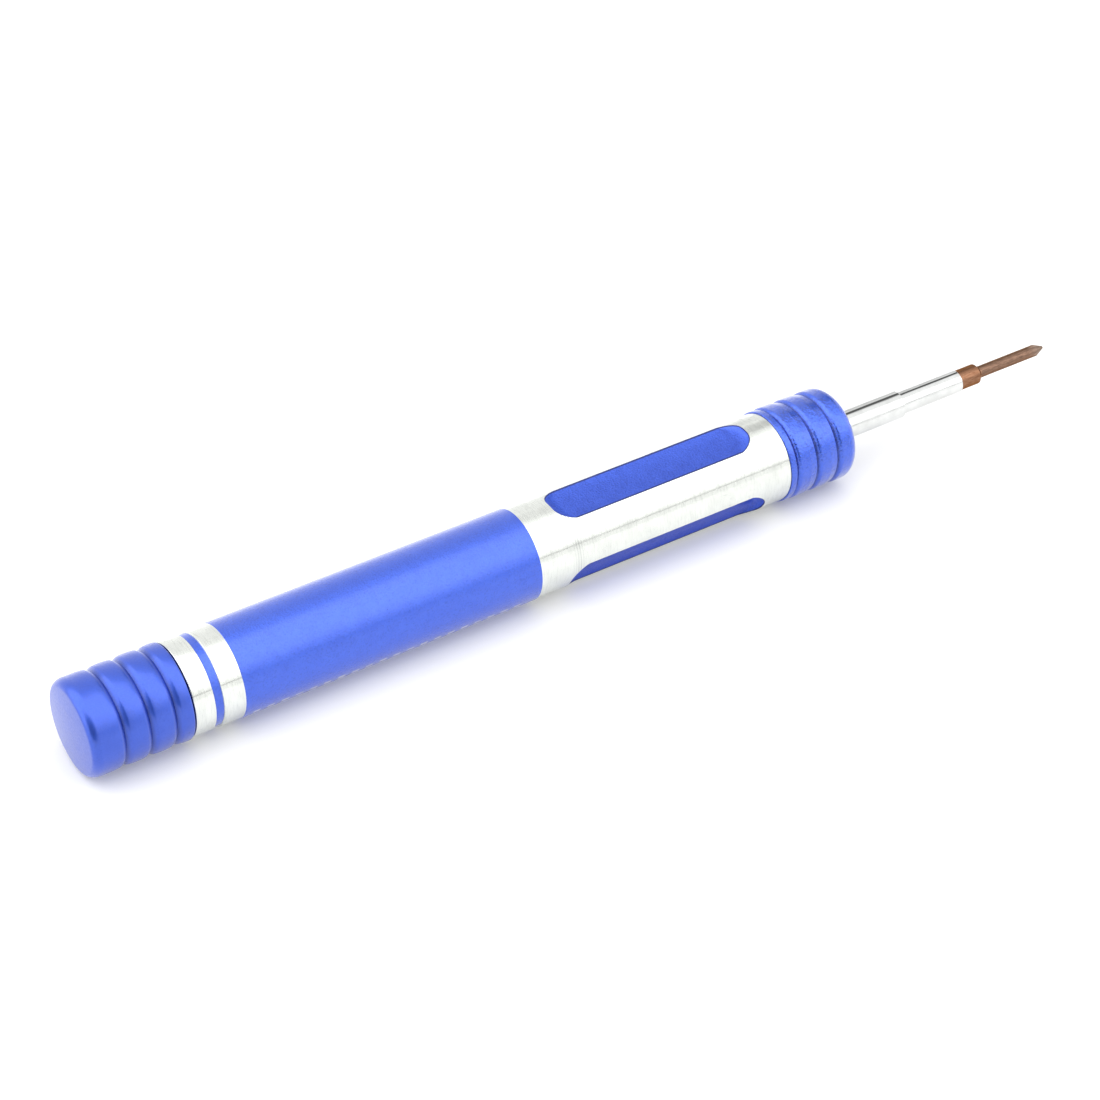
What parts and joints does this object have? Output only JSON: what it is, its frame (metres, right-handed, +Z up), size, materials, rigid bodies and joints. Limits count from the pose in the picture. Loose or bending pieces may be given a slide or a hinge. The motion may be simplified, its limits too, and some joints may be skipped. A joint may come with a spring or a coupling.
{
  "type": "precision screwdriver with swivel cap",
  "caption": "Slim watchmaker screwdriver: grooved aluminium handle with finger flats, free-turning end cap and a small cross-tip bit in a stepped steel shank.",
  "frame": {"origin": "under the middle of the tool's length, at the height of the nose collar's lowest point, where the tool lies on a table", "axes": "+X along the tool's axis towards the driver tip, +Z up with the tool lying on its side, +Y to the left when looking towards the tip"},
  "size_m": [0.1448, 0.0124, 0.0123],
  "materials": {
    "blue_anodised_aluminium": "satin blue anodised aluminium with bright-turned bands and grip",
    "bright_shank_steel": "bright drawn and plated steel with fine lengthwise lines",
    "bronze_tool_steel": "brown heat-treated tool steel, worn grey at the tip",
    "black_oxide_steel": "black oxide screw steel",
    "washer_brass": "turned brass",
    "bearing_steel": "ground bearing steel",
    "pressed_steel": "pressed sheet steel",
    "ball_steel": "polished ball steel"
  },
  "bodies": {
    "handle": {"handle_body": "blue_anodised_aluminium", "nose_collar": "blue_anodised_aluminium", "shank_sleeve": "bright_shank_steel", "bit_holder": "bright_shank_steel", "driver_bit": "bronze_tool_steel", "axle_screw": "black_oxide_steel", "axle_spacer": "washer_brass", "bearing_inner_ring": "bearing_steel"},
    "cap": {"swivel_cap": "blue_anodised_aluminium", "bearing_outer_ring": "bearing_steel", "bearing_shield_rear": "pressed_steel", "bearing_shield_front": "pressed_steel"},
    "cage": {"ball_cage": "pressed_steel"},
    "ball_1": {"bearing_ball_1": "ball_steel"},
    "ball_2": {"bearing_ball_2": "ball_steel"},
    "ball_3": {"bearing_ball_3": "ball_steel"},
    "ball_4": {"bearing_ball_4": "ball_steel"},
    "ball_5": {"bearing_ball_5": "ball_steel"},
    "ball_6": {"bearing_ball_6": "ball_steel"},
    "ball_7": {"bearing_ball_7": "ball_steel"}
  },
  "joints": [
    {"name": "cap_swivel", "type": "hinge", "parent": "handle", "child": "cap", "pos_m": [-0.06185, 0, 0.00617], "axis": [1, 0, 0], "continuous": true},
    {"name": "cage_orbit", "type": "hinge", "parent": "handle", "child": "cage", "pos_m": [-0.06185, 0, 0.00617], "axis": [1, 0, 0], "continuous": true},
    {"name": "ball_1_spin", "type": "hinge", "parent": "cage", "child": "ball_1", "pos_m": [-0.06185, 0.00275, 0.00617], "axis": [1, 0, 0], "continuous": true},
    {"name": "ball_2_spin", "type": "hinge", "parent": "cage", "child": "ball_2", "pos_m": [-0.06185, 0.00171, 0.00832], "axis": [1, 0, 0], "continuous": true},
    {"name": "ball_3_spin", "type": "hinge", "parent": "cage", "child": "ball_3", "pos_m": [-0.06185, -0.00061, 0.00885], "axis": [1, 0, 0], "continuous": true},
    {"name": "ball_4_spin", "type": "hinge", "parent": "cage", "child": "ball_4", "pos_m": [-0.06185, -0.00248, 0.00736], "axis": [1, 0, 0], "continuous": true},
    {"name": "ball_5_spin", "type": "hinge", "parent": "cage", "child": "ball_5", "pos_m": [-0.06185, -0.00248, 0.00498], "axis": [1, 0, 0], "continuous": true},
    {"name": "ball_6_spin", "type": "hinge", "parent": "cage", "child": "ball_6", "pos_m": [-0.06185, -0.00061, 0.00349], "axis": [1, 0, 0], "continuous": true},
    {"name": "ball_7_spin", "type": "hinge", "parent": "cage", "child": "ball_7", "pos_m": [-0.06185, 0.00171, 0.00402], "axis": [1, 0, 0], "continuous": true}
  ],
  "couplings": [
    {"joint": "cage_orbit", "follows": "cap_swivel", "ratio": 0.6444},
    {"joint": "ball_1_spin", "follows": "cap_swivel", "ratio": 1.5874},
    {"joint": "ball_2_spin", "follows": "cap_swivel", "ratio": 1.5874},
    {"joint": "ball_3_spin", "follows": "cap_swivel", "ratio": 1.5874},
    {"joint": "ball_4_spin", "follows": "cap_swivel", "ratio": 1.5874},
    {"joint": "ball_5_spin", "follows": "cap_swivel", "ratio": 1.5874},
    {"joint": "ball_6_spin", "follows": "cap_swivel", "ratio": 1.5874},
    {"joint": "ball_7_spin", "follows": "cap_swivel", "ratio": 1.5874}
  ]
}
